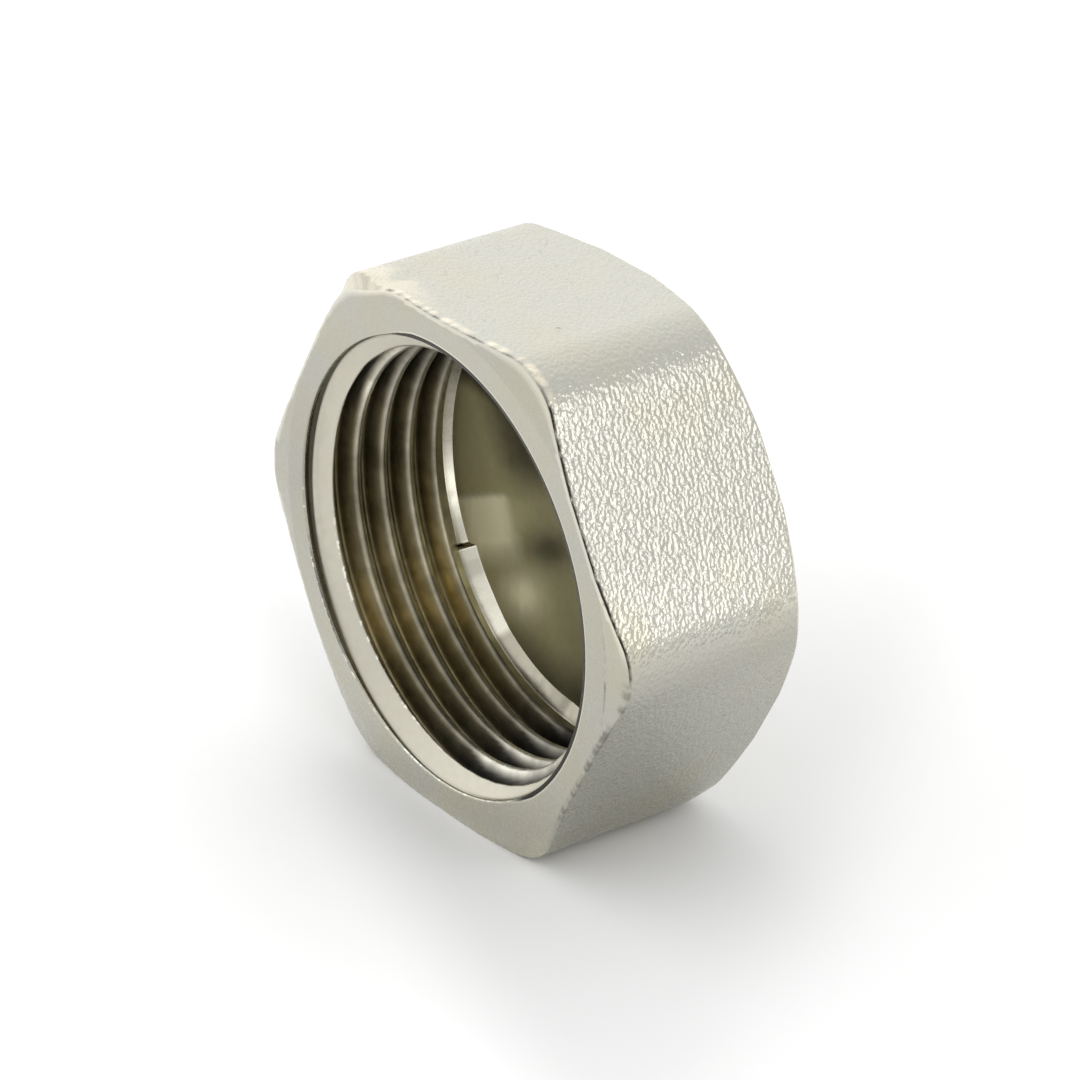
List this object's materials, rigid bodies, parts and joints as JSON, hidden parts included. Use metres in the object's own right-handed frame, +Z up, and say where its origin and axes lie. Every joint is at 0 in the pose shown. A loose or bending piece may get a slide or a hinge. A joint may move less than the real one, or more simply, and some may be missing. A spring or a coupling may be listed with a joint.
{
  "type": "threaded protection cap",
  "caption": "Hexagonal screw-on protection cap with chamfered ends and a blind, internally threaded bore, to close the male end of a pipe.",
  "frame": {"origin": "on the surface the cap lies on, at the centre of its resting flat", "axes": "-Y along the bore axis out of the mouth, +Z up from the flat the cap lies on, +X towards a corner of the hexagon"},
  "size_m": [0.0334, 0.0128, 0.03],
  "materials": {
    "cap": "hot-forged and shot-blasted brass with thin nickel plating; turned mouth, chamfers and bore"
  },
  "bodies": {
    "root": {"cap": "cap"}
  },
  "joints": []
}
